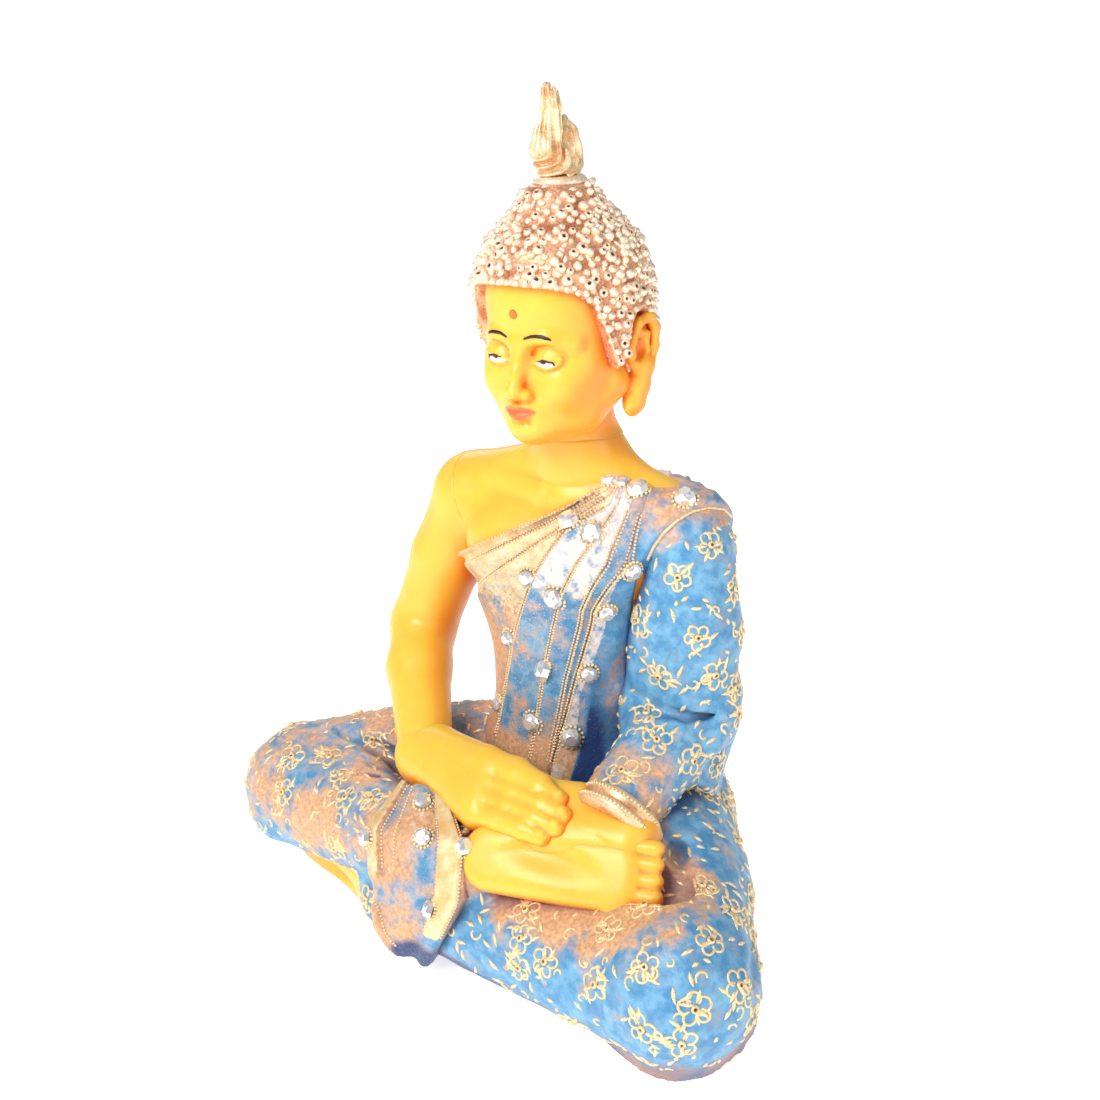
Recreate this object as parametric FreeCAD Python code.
"""Seated figurine in the meditation pose: hollow cast-resin body, glued head, arms, feet and drapery, rhinestones.

Frame: +Z up, the figure looks along -Y, and +X is the figure's own left. The origin is on the floor, under the
middle of the body. Millimetres.
"""
import FreeCAD
import Part
import math
import os

V = FreeCAD.Vector

# ---------------------------------------------------------------- driving dimensions
HEIGHT = 250.0          # floor to the tip of the flame
FELT = 1.5              # felt sheet under the casting
WALL = 5.0              # wall of the hollow casting
PLATE = 3.0             # closing plate in the casting's underside
PLATE_GAP = 0.3         # clearance round the closing plate
FELT_INSET = 2.0        # how far the felt stays inside the rim
CLOTH = 2.2             # how far the robe stands off the body
SLEEVE = 13.5           # radius of the sleeve at the elbow
SHOULDER_PAD = 14.4     # radius of the gathered robe over the left shoulder
PITCH = 2.0             # forward tilt of the head, degrees
DOWEL_GAP = 0.05        # radial clearance of each dowel in its hole
JOINT_STEP = 0.4        # how much slimmer the lower half of a limb starts, where it leaves the upper half

# centres and radii of the joints under the skin
SHOULDER_R, SHOULDER_L = V(-42, 8, 124), V(36, 8, 124)
ELBOW_R, ELBOW_L = V(-61, 2, 78), V(40, 6, 72)
WRIST_R, WRIST_L = V(-33, -32, 52), V(34, -32, 50)
HIP_R, HIP_L = V(-26, 10, 27), V(26, 10, 27)
KNEE_R, KNEE_L = V(-86, -32, 25), V(72, -52, 22)
ANKLE_R, ANKLE_L = V(2, -52, 34), V(-45, -54, 14)
COLLAR_BONE, SLEEVE_END = V(18, 9, 129), WRIST_L + V(2, 4, 2)
UPPER_ARM, ELBOW, WRIST = 12.0, 10.5, 7.5
HIP, KNEE, ANKLE = 26.0, 21.5, 12.5

# elliptical cross-sections of the bare torso: height, half width, half depth
TORSO_X, TORSO_Y = -2.0, 8.0
TORSO = [(30, 32, 25), (60, 25, 20), (85, 28, 21), (110, 35, 23), (124, 35, 20), (134, 24, 15), (142, 14, 12.5)]
# cross-sections of the hair, from the nape to the collar of the flame
HAIR_Y = 2.0
HAIR = [(168, 21, 23.5), (176, 24, 27), (185, 24.6, 27.5), (193, 24.2, 27), (198.4, 23.6, 26), (203.2, 22.6, 25),
        (208, 20.6, 22.7), (212.6, 16.4, 18), (217.3, 12.4, 13.6), (221.3, 9.8, 10.6), (223.6, 8.2, 8.4)]
CURL_ROWS = [173, 177, 181, 185, 189, 193, 197, 200.8, 204.4, 207.6, 210.2, 212.8, 215.6, 218.6, 221.4]
NECK_BASE, NECK_TOP = V(0, 6, 142), V(0, 3, 168)
NECK_R = 11.5
PIVOT = V(0, 6, 160)    # the head tilts about this point

# flame on the crown
COLLAR_Z, COLLAR_H, COLLAR_R, COLLAR_LIP = 223.6, 2.4, 6.8, 0.9
FLAME_PIN_R = 1.0
# its two tongues as cross-sections: share of the flame's height, half width, half depth, shift in x and in y
FRONT_TONGUE = [(0, 3.4, 3.0, -1.0, -3.6), (0.2, 4.2, 3.6, -1.4, -4.4), (0.42, 3.4, 3.0, -0.9, -3.8),
                (0.6, 2.9, 2.4, -0.5, -3.3), (0.85, 2.6, 2.0, -0.4, -3.1), (1.0, 2.2, 1.4, -0.3, -3.0)]
BACK_TONGUE = [(0, 4.2, 3.4, 0.8, 3.0), (0.2, 4.0, 3.2, 0.9, 3.2), (0.45, 2.9, 2.3, 0.7, 3.0), (0.64, 1.2, 1.0, 0.4, 2.6)]

# outline of the casting's foot on the floor, anticlockwise from the right knee
FOOT_OUTLINE = [(-89, -27), (-60, -43), (-28, -54), (10, -52), (52, -60), (76, -63), (85, -45), (70, -8), (38, 29),
                (0, 39), (-43, 31), (-77, 4)]
FOOT_HEIGHT = 16.0

# rhinestones: radius over the girdle and height
STONE_LARGE, STONE_SMALL = (3.2, 1.9), (2.5, 1.5)


# ---------------------------------------------------------------- building blocks
def ball(centre, radii):
    """Ellipsoid."""
    scale = FreeCAD.Matrix()
    scale.scale(radii[0], radii[1], radii[2])
    shape = Part.makeSphere(1.0).transformGeometry(scale)
    shape.translate(centre)
    return shape


def limb(a, ra, b, rb):
    """Two spheres and the cone that touches both, as one revolved solid."""
    reach = (b - a).Length
    lean = math.asin((ra - rb) / reach)
    cos, sin = math.cos(lean), math.sin(lean)
    tail, low, high, tip = V(0, 0, -ra), V(ra * cos, 0, ra * sin), V(rb * cos, 0, reach + rb * sin), V(0, 0, reach + rb)
    mid_low = (lean - math.pi / 2) / 2
    mid_high = (lean + math.pi / 2) / 2
    edges = [
        Part.Arc(tail, V(ra * math.cos(mid_low), 0, ra * math.sin(mid_low)), low).toShape(),
        Part.LineSegment(low, high).toShape(),
        Part.Arc(high, V(rb * math.cos(mid_high), 0, reach + rb * math.sin(mid_high)), tip).toShape(),
        Part.LineSegment(tip, tail).toShape(),
    ]
    solid = Part.Face(Part.Wire(edges)).revolve(V(0, 0, 0), V(0, 0, 1), 360)
    solid.Placement = FreeCAD.Placement(a, FreeCAD.Rotation(V(0, 0, 1), b - a))
    return solid


def fuse(shapes):
    """One solid from several that overlap."""
    joined = shapes[0].multiFuse(shapes[1:]).removeSplitter()
    if joined.Volume < max(shape.Volume for shape in shapes):
        raise RuntimeError("a union lost material")
    return joined


def largest(shape):
    """The biggest solid left after cutting, without slivers."""
    return max(shape.Solids, key=lambda solid: solid.Volume)


def cut(shape, *others):
    """The biggest solid left of a shape after other shapes are taken away."""
    for other in others:
        shape = shape.cut(other)
    return largest(shape)


def ellipse_loft(sections, x, y, grow=0.0):
    """Smooth solid through level ellipses centred on one upright line."""
    wires = []
    for z, half_width, half_depth in sections:
        long_axis, short_axis = max(half_width, half_depth) + grow, min(half_width, half_depth) + grow
        across = V(1, 0, 0) if half_width >= half_depth else V(0, 1, 0)
        side = V(0, 0, 1).cross(across)
        centre = V(x, y, z)
        curve = Part.Ellipse(centre + across * long_axis, centre + side * short_axis, centre)
        wires.append(Part.Wire(curve.toShape()))
    return Part.makeLoft(wires, True, False)


def slab(low, high):
    """Everything between two levels."""
    reach = 2 * HEIGHT
    return Part.makeBox(reach, reach, high - low, V(-reach / 2, -reach / 2, low))


def half_space(point, outward):
    """A block on the outward side of a plane."""
    reach = 2 * HEIGHT
    block = Part.makeBox(reach, reach, reach, V(-reach / 2, -reach / 2, 0))
    block.Placement = FreeCAD.Placement(point, FreeCAD.Rotation(V(0, 0, 1), outward))
    return block


def dowel(a, b, radius):
    """Plain round pin."""
    return Part.makeCylinder(radius, (b - a).Length, a, b - a)


def tilt(shape):
    """The head and all it carries lean forward together."""
    turned = shape.copy()
    turned.rotate(PIVOT, V(1, 0, 0), PITCH)
    return turned


def on_surface(shape, outside):
    """Nearest point of a shape to a point outside it, and the direction out."""
    distance, pairs, _ = shape.distToShape(Part.Vertex(outside))
    nearest = pairs[0][0]
    return nearest, (outside - nearest).normalize()


def stand_on(shape, point, outward, sink=0.0):
    """Moves a shape drawn round the origin along +Z so that it stands on a surface."""
    place = FreeCAD.Placement(point - outward * sink, FreeCAD.Rotation(V(0, 0, 1), outward))
    placed = shape.copy()
    placed.transformShape(place.toMatrix(), True)
    return placed


# ---------------------------------------------------------------- the casting
def foot_block(grow=0.0):
    """The flat-bottomed mass under the crossed legs."""
    points = []
    for x, y in FOOT_OUTLINE:
        reach = math.hypot(x, y)
        points.append(V(x * (reach + grow) / reach, y * (reach + grow) / reach, FELT))
    curve = Part.BSplineCurve()
    curve.interpolate(points, PeriodicFlag=True)
    return Part.Face(Part.Wire(curve.toShape())).extrude(V(0, 0, FOOT_HEIGHT + min(grow, 0.0)))


def legs(grow=0.0):
    """Crossed legs and seat, before the flat underside is cut."""
    return fuse([
        foot_block(grow),
        ball(V(0, 14, 24), (46 + grow, 28 + grow, 24 + grow)),
        limb(HIP_R, HIP + grow, KNEE_R, KNEE + grow),
        limb(HIP_L, HIP + grow, KNEE_L, KNEE + grow),
        limb(KNEE_R, KNEE - 1 + grow, ANKLE_R, ANKLE + grow),
        limb(KNEE_L, KNEE - 1 + grow, ANKLE_L, ANKLE + grow),
    ])


def torso_core(grow=0.0):
    """Chest and waist."""
    return ellipse_loft(TORSO, TORSO_X, TORSO_Y, grow)


def torso_form():
    """Bare chest, shoulders and neck socket, as if cast solid."""
    shoulders = limb(SHOULDER_R, UPPER_ARM, SHOULDER_L, UPPER_ARM)
    collar = limb(NECK_BASE - V(0, 0, 8), NECK_R + 1, NECK_BASE, NECK_R)
    return fuse([torso_core(), shoulders, collar]).cut(half_space(NECK_BASE, V(0, 0, 1)))


def make_torso(form):
    """The chest and shoulders, hollow from below."""
    return cut(form, torso_core(-WALL).common(slab(0, TORSO[4][0])))


def make_lap(torso, right_foot, left_foot):
    """Robe-covered crossed legs: an open shell that the torso plugs into."""
    outer = legs().common(slab(FELT, HEIGHT))
    inner = legs(-WALL).common(slab(0, HEIGHT))
    opening = foot_block(-WALL).common(slab(0, FELT + PLATE))
    shell = outer.cut(inner.cut(slab(-HEIGHT, FELT))).cut(opening)
    return cut(shell, torso, torso_core(-WALL), right_foot, left_foot)


def make_base_plate():
    """Board that closes the underside."""
    return foot_block(-WALL - PLATE_GAP).common(slab(FELT, FELT + PLATE))


def make_felt_sheet():
    """Felt glued under the closing plate and the rim."""
    sheet = foot_block(-FELT_INSET).common(slab(FELT, 2 * FELT))
    sheet.translate(V(0, 0, -FELT))
    return sheet


# ---------------------------------------------------------------- limbs
def make_right_arm(*neighbours):
    """Bare arm from the shoulder to the wrist."""
    upper = limb(SHOULDER_R, UPPER_ARM, ELBOW_R, ELBOW)
    fore = limb(ELBOW_R, ELBOW - JOINT_STEP, WRIST_R, WRIST)
    return cut(fuse([upper, fore]), *neighbours)


def make_hand(wrist, palm, fingertips, thumb, spread, finger_radius):
    """Palm, four fingers that lie side by side, and a thumb."""
    parts = [limb(wrist, WRIST, palm, WRIST - 1)]
    for finger in range(4):
        offset = spread * (finger - 1.5)
        parts.append(limb(palm + offset, finger_radius + 0.6, fingertips + offset, finger_radius))
    parts.append(limb(palm, finger_radius + 1, thumb, finger_radius))
    return fuse(parts)


def make_foot(heel, toes, heel_radius, toe_radius):
    """Bare foot: a tapering sole with five toes."""
    along = (toes - heel).normalize()
    across = along.cross(V(0, -0.45, 0.9)).normalize()
    parts = [
        limb(heel, heel_radius, toes - along * 8, toe_radius),
        limb(heel + across * 3, heel_radius - 2, toes - along * 8 + across * 6, toe_radius - 1),
        limb(heel - across * 3, heel_radius - 2, toes - along * 8 - across * 6, toe_radius - 1),
    ]
    for toe in range(5):
        tip = toes + across * (toe - 2) * 3.6
        parts.append(limb(tip - along * 8, 3.0, tip, 2.4))
    return fuse(parts)


# ---------------------------------------------------------------- drapery
def make_chest_robe(*neighbours):
    """Wrap over the left shoulder that leaves the right shoulder bare."""
    middle = limb(V(0, 8, 126), UPPER_ARM + CLOTH, SHOULDER_L, UPPER_ARM + CLOTH)
    shoulder = limb(COLLAR_BONE, SHOULDER_PAD + 1, SHOULDER_L, SHOULDER_PAD)
    outer = fuse([torso_core(CLOTH).common(slab(0, 138)), middle, shoulder])
    edge_point, edge_normal = V(-37, 0, 112), V(-0.55, 0, 0.83)
    return cut(outer, half_space(edge_point, edge_normal), *neighbours)


def make_left_sleeve(*neighbours):
    """Draped sleeve from the shoulder to the cuff."""
    upper = limb(SHOULDER_L, UPPER_ARM + CLOTH, ELBOW_L, SLEEVE)
    fore = limb(ELBOW_L, SLEEVE - JOINT_STEP, SLEEVE_END, WRIST + 4)
    drape = limb(ELBOW_L + V(0, 2, -4), SLEEVE - 1.2, V(38, 7, 42), ELBOW + 0.5)
    return cut(fuse([upper, fore, drape]), *neighbours)


def make_cuff(*neighbours):
    """Trim band round the sleeve's opening."""
    axis = (WRIST_L - ELBOW_L).normalize()
    start = SLEEVE_END + axis * 3
    ring = Part.makeCylinder(WRIST + 5, 4, start, axis)
    return cut(ring, Part.makeCylinder(WRIST + 1, 9, start - axis, axis), *neighbours)


def make_sash_end(*neighbours):
    """End of the robe that hangs over the right shin to the floor."""
    line = [V(-22, -46, 50), V(-14, -60, 43), V(-10, -66, 30), V(-12, -67, 16), V(-16, -62, -3)]
    half_widths = [9, 19, 17, 12, 9]
    slant = V(1, 0.1, 0.15)
    half_depth = 3.0
    wires = []
    for i, point in enumerate(line):
        ahead = line[min(i + 1, len(line) - 1)] - line[max(i - 1, 0)]
        across = slant - ahead * (slant.dot(ahead) / ahead.dot(ahead))
        across.normalize()
        side = ahead.cross(across).normalize()
        curve = Part.Ellipse(point + across * half_widths[i], point + side * half_depth, point)
        wires.append(Part.Wire(curve.toShape()))
    return cut(Part.makeLoft(wires, True, False).common(slab(FELT, HEIGHT)), *neighbours)


# ---------------------------------------------------------------- head
def head_core():
    """Skull, jaw and neck, upright."""
    skull = ball(V(0, 2, 193), (21.5, 24.5, 25))
    jaw = limb(V(0, -5, 178), 17.0, V(0, -13, 163.5), 9.0)
    neck = limb(NECK_BASE - V(0, 0, 4), NECK_R, NECK_TOP, NECK_R - 0.5)
    return fuse([skull, jaw, neck])


def make_ear(side):
    """Long-lobed ear."""
    upper = ball(V(side * 22.5, 5, 180), (3.0, 5.5, 9.0))
    lobe = limb(V(side * 22, 4, 174), 2.8, V(side * 20.5, 3, 163), 3.4)
    return fuse([upper, lobe])


def make_head():
    """Face, ears and neck in one casting."""
    nose = limb(V(0, -22, 182), 1.6, V(0, -25, 172), 2.8)
    head = tilt(fuse([head_core(), nose, make_ear(-1), make_ear(1)]))
    return cut(head, half_space(NECK_BASE, V(0, 0, -1)))


def hair_dome(grow=0.0):
    """Bell of hair that rises to the collar, upright."""
    return ellipse_loft(HAIR, 0, HAIR_Y, grow)


def make_hair_cap(head):
    """Hair on the skull, cut along the hairline."""
    hairline = half_space(V(0, -25, 199), V(0, -0.72, -0.69))
    ears = fuse([ball(V(side * 24, 0, 172), (8, 11, 13)) for side in (-1, 1)])
    return cut(tilt(hair_dome().cut(hairline).cut(ears)), head)


def hair_point(height, angle):
    """Point on the hair and the direction out, upright."""
    for (z0, w0, d0), (z1, w1, d1) in zip(HAIR, HAIR[1:]):
        if z0 <= height <= z1:
            share = (height - z0) / (z1 - z0)
            width, depth = w0 + (w1 - w0) * share, d0 + (d1 - d0) * share
            slope = (w0 - w1) / (z1 - z0)
            break
    point = V(width * math.sin(angle), HAIR_Y - depth * math.cos(angle), height)
    outward = V(math.sin(angle) / width, -math.cos(angle) / depth, 0).normalize() + V(0, 0, slope)
    return point, outward.normalize()


def make_hair_curls():
    """Rings of small pointed curls, closer together towards the crown."""
    curl = Part.makeCone(1.5, 0.5, 2.0)
    pitch = 4.0
    curls = []
    for row, height in enumerate(CURL_ROWS):
        radius = hair_point(height, 0)[0].y - HAIR_Y
        count = int(2 * math.pi * abs(radius) / pitch)
        for i in range(count):
            angle = 2 * math.pi * (i + 0.5 * (row % 2)) / count
            front = abs(math.remainder(angle, 2 * math.pi))
            hairline = 200.5 if front < 1.0 else 190 if front < 1.35 else 195 if front < 1.9 else 170
            if height < hairline:
                continue
            point, outward = hair_point(height, angle)
            curls.append(tilt(stand_on(curl, point, outward, sink=-0.1)))
    return Part.makeCompound(curls)


def make_collar():
    """Ring that the flame stands in."""
    ring = Part.makeCylinder(COLLAR_R, COLLAR_H, V(0, HAIR_Y, COLLAR_Z))
    lip = Part.makeTorus(COLLAR_R, COLLAR_LIP, V(0, HAIR_Y, COLLAR_Z + COLLAR_H / 2))
    return tilt(fuse([ring, lip]))


def make_flame():
    """Tall tongue in front and a shorter one behind it."""
    foot = V(0, HAIR_Y, COLLAR_Z + COLLAR_H)
    pitch = math.radians(PITCH)
    top_y = HAIR_Y + FRONT_TONGUE[-1][4] - PIVOT.y
    rise = PIVOT.z + (HEIGHT - PIVOT.z - top_y * math.sin(pitch)) / math.cos(pitch) - foot.z
    parts = [Part.makeCylinder(COLLAR_R - 1, COLLAR_LIP, foot)]
    for sections in (FRONT_TONGUE, BACK_TONGUE):
        wires = []
        for share, half_width, half_depth, shift_x, shift_y in sections:
            centre = foot + V(shift_x, shift_y, rise * share)
            curve = Part.Ellipse(centre + V(half_width, 0, 0), centre + V(0, half_depth, 0), centre)
            wires.append(Part.Wire(curve.toShape()))
        parts.append(Part.makeLoft(wires, True, False))
    return tilt(fuse(parts))


# ---------------------------------------------------------------- applied decoration
def brilliant(radius, height):
    """Flat-backed stone: a low girdle, eight sloping facets and a table."""
    girdle = height * 0.25
    table = radius * 0.55
    rings = [(radius, 0.0), (radius, girdle), (table, height)]
    corners = [
        [V(r * math.cos(math.pi * i / 4), r * math.sin(math.pi * i / 4), z) for i in range(8)] for r, z in rings
    ]
    wires = [Part.makePolygon(ring + ring[:1]) for ring in corners]
    lower = Part.makeLoft(wires[:2], True, True)
    upper = Part.makeLoft(wires[1:], True, True)
    return lower.fuse(upper).removeSplitter()


# courses of the beaded cords over the chest: x and z
CORDS = [
    [(-36, 107), (-18, 117), (4, 130), (17, 139)],
    [(-34, 97), (-16, 111), (5, 127), (18, 138)],
    [(-19, 63), (-11, 88), (-2, 111), (9, 128), (20, 136)],
    [(-2, 64), (1, 82), (8, 106), (18, 125), (22, 136)],
    [(4, 61), (8, 81), (15, 105), (24, 120), (26, 136)],
    [(14, 61), (19, 81), (26, 105), (33, 120), (33, 136)],
]
# places of the applied pieces, as points just outside the surface they sit on
CHEST_STONES_LARGE = [V(10, -17, 134), V(19, -16, 130), V(8, -24, 107), V(1, -23, 82), V(-4, -22, 64), V(12, -19, 62),
                      V(28, -6, 145), V(42, -1, 144)]
CHEST_STONES_SMALL = [V(-3, -24, 112), V(-15, -22, 88), V(19, -18, 82), V(-25, -14, 63), V(31, -14, 121),
                      V(26, -18, 104), V(14, -4, 148), V(20, -3, 149)]
SASH_STONES = [V(-17, -56, 59), V(-9, -67, 50), V(9, -66, 52), V(-36, -66, 38), V(-1, -77, 29)]
SLEEVE_FLOWERS = [V(45, -13, 118), V(28, -12, 102), V(52, -9, 101), V(38, -15, 88), V(57, -4, 89), V(56, -2, 128),
                  V(45, -21, 78), V(58, -12, 65), V(38, -32, 72), V(66, 12, 112), V(66, 16, 98), V(62, 30, 124),
                  V(52, 36, 108), V(64, 30, 84), V(48, 40, 90), V(60, 34, 68), V(40, 40, 72), V(64, 10, 72)]
LAP_FLOWERS = [V(85, -55, 48), V(70, -73, 42), V(90, -73, 33), V(98, -56, 36), V(55, -78, 30), V(73, -81, 23),
               V(37, -77, 30), V(27, -74, 34), V(87, -77, 20), V(72, -37, 52), V(83, -34, 45), V(112, -48, 16),
               V(104, -24, 26), V(90, -8, 36), V(84, 18, 24), V(60, 30, 44), V(52, 46, 20), V(24, 56, 30), V(0, 60, 16),
               V(-28, 56, 28), V(-54, 44, 18), V(-60, 30, 44), V(-86, 22, 26), V(-84, -8, 60), V(-118, -6, 30),
               V(-126, -34, 24), V(-112, -58, 32), V(-59, -31, 53), V(-68, -41, 53), V(-58, -47, 52), V(-50, -57, 47),
               V(-40, -55, 51), V(-78, -60, 38), V(-81, -48, 49), V(-100, -30, 60)]


def make_stones(size, places):
    """Stones glued to drapery: a list of (support, points outside it)."""
    stones = []
    for support, points in places:
        for point in points:
            nearest, outward = on_surface(support, point)
            stones.append(stand_on(brilliant(*size), nearest, outward, sink=-0.15))
    return Part.makeCompound(stones)


def flower():
    """Five piped petal rings round a bead, drawn on the level."""
    petal, line, orbit, bead = 1.6, 0.3, 3.1, 0.7
    parts = [Part.makeSphere(bead, V(0, 0, bead))]
    for i in range(5):
        angle = 2 * math.pi * i / 5
        parts.append(Part.makeTorus(petal, line, V(orbit * math.cos(angle), orbit * math.sin(angle), line)))
    return parts


def make_flowers(support, points):
    """Piped flowers on the robe."""
    solids = []
    for point in points:
        nearest, outward = on_surface(support, point)
        solids += [stand_on(part, nearest, outward) for part in flower()]
    return Part.makeCompound(solids)


def make_robe_cords(support):
    """Beaded cords along the pleats that fan from the left shoulder."""
    bead, gap = 0.6, 3.6
    cords = []
    for line in CORDS:
        for (x0, z0), (x1, z1) in zip(line, line[1:]):
            steps = max(1, round(math.hypot(x1 - x0, z1 - z0) / gap))
            for i in range(steps):
                share = (i + 0.5) / steps
                nearest, outward = on_surface(support, V(x0 + (x1 - x0) * share, -30, z0 + (z1 - z0) * share))
                cords.append(Part.makeSphere(bead, nearest + outward * 0.5 * bead))
    return Part.makeCompound(cords)


# ---------------------------------------------------------------- assembly
def make_pins(grow):
    """The dowels that key the castings together, or with some growth their holes."""
    return {
        "neck_dowel": dowel(V(0, 7, 126), V(0, 5, 158), 4.0 + grow),
        "right_arm_dowel": dowel(V(-38, 8, 124), V(-51, 8, 120), 2.5 + grow),
        "left_arm_dowel": dowel(V(29, 8, 122), V(43, 8, 118), 2.5 + grow),
        "flame_pin": tilt(dowel(V(0, HAIR_Y, COLLAR_Z - 6), V(0, HAIR_Y, COLLAR_Z + 8), FLAME_PIN_R + grow)),
    }


def build():
    """Every named piece of the figurine."""
    form = torso_form()
    torso = make_torso(form)
    right_foot = make_foot(V(13, -53, 43), V(58, -43, 45), 9.0, 7.0)
    left_foot = cut(make_foot(V(-46, -46, 8.6), V(-90, -33, 6.7), 7.6, 5.6).common(slab(FELT, HEIGHT)), foot_block(1 - WALL))
    lap = make_lap(form, right_foot, left_foot)
    right_arm = make_right_arm(form, lap)
    right_hand = cut(
        make_hand(WRIST_R, V(-21, -41, 51), V(18, -49, 52), V(2, -38, 57), V(0.4, -3.4, -1.2), 2.8),
        right_arm, lap, right_foot)
    left_hand = cut(
        make_hand(WRIST_L, V(26, -38, 47), V(-8, -46, 46), V(8, -36, 56), V(0.4, -3.4, -1.0), 2.8),
        right_hand, lap, right_foot)
    left_sleeve = make_left_sleeve(form, lap, left_hand, right_hand)
    chest_robe = make_chest_robe(form, left_sleeve, lap, right_arm, right_hand, left_hand)
    cuff = make_cuff(left_sleeve, left_hand, lap, right_hand, right_foot)
    sash_end = make_sash_end(lap, right_foot, left_foot, right_hand, left_hand)
    head = make_head()
    hair_cap = make_hair_cap(head)
    collar = cut(make_collar(), hair_cap)
    flame = make_flame()

    pins = make_pins(0.0)
    holes = make_pins(DOWEL_GAP)
    torso = cut(torso, holes["neck_dowel"], holes["right_arm_dowel"], holes["left_arm_dowel"])
    head = cut(head, holes["neck_dowel"])
    right_arm = cut(right_arm, holes["right_arm_dowel"])
    left_sleeve = cut(left_sleeve, holes["left_arm_dowel"])
    chest_robe = cut(chest_robe, holes["left_arm_dowel"])
    hair_cap = cut(hair_cap, holes["flame_pin"])
    collar = cut(collar, holes["flame_pin"])
    flame = cut(flame, holes["flame_pin"])
    mark_point, mark_out = on_surface(head, V(0, -40, 189))

    pieces = {
        "lap_casting": lap,
        "torso_casting": torso,
        "head_casting": head,
        "hair_cap": hair_cap,
        "hair_curls": make_hair_curls(),
        "flame_collar": collar,
        "flame_finial": flame,
        "forehead_mark": stand_on(Part.makeSphere(1.2), mark_point, mark_out, sink=0.2).cut(head),
        "right_arm": right_arm,
        "right_hand": right_hand,
        "left_hand": left_hand,
        "right_foot": right_foot,
        "left_foot": left_foot,
        "chest_robe": chest_robe,
        "left_sleeve": left_sleeve,
        "sleeve_cuff": cuff,
        "sash_end": sash_end,
        "base_plate": make_base_plate(),
        "felt_sheet": make_felt_sheet(),
        "large_rhinestones": make_stones(STONE_LARGE, [(chest_robe, CHEST_STONES_LARGE)]),
        "small_rhinestones": make_stones(STONE_SMALL, [(chest_robe, CHEST_STONES_SMALL), (sash_end, SASH_STONES)]),
        "sleeve_flowers": make_flowers(left_sleeve, SLEEVE_FLOWERS),
        "lap_flowers": make_flowers(lap, LAP_FLOWERS),
        "robe_cords": make_robe_cords(chest_robe),
    }
    pieces.update(pins)
    return pieces


def main():
    os.makedirs("parts", exist_ok=True)
    for name, shape in build().items():
        shape.exportStep(f"parts/{name}.step")
        box = shape.optimalBoundingBox()
        print(f"{name:18s} solids {len(shape.Solids):4d} valid {shape.isValid()} volume {shape.Volume:10.1f}"
              f"  x {box.XMin:6.1f} {box.XMax:6.1f}  y {box.YMin:6.1f} {box.YMax:6.1f}  z {box.ZMin:6.1f} {box.ZMax:6.1f}")


main()
